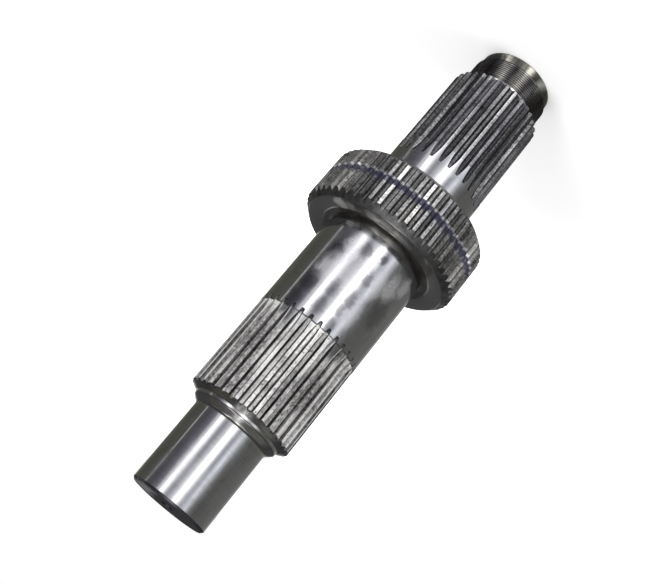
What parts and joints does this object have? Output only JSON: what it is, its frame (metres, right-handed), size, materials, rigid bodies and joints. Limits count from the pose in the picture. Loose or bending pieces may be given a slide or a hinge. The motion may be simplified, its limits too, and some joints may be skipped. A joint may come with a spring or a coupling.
{
  "type": "splined shaft",
  "caption": "One-piece steel transmission shaft with splines on both sides of a toothed coupling collar, a ground journal and a threaded end.",
  "frame": {"origin": "centre of the threaded end's face, on which the shaft stands", "axes": "+Z along the shaft's axis, from the threaded end towards the smooth journal; -Y through the middle of a spline space on both splines and a tooth of the collar"},
  "size_m": [0.1096, 0.1096, 0.3566],
  "materials": {
    "steel": "brushed"
  },
  "bodies": {
    "root": {"splined_shaft": "steel"}
  },
  "joints": []
}
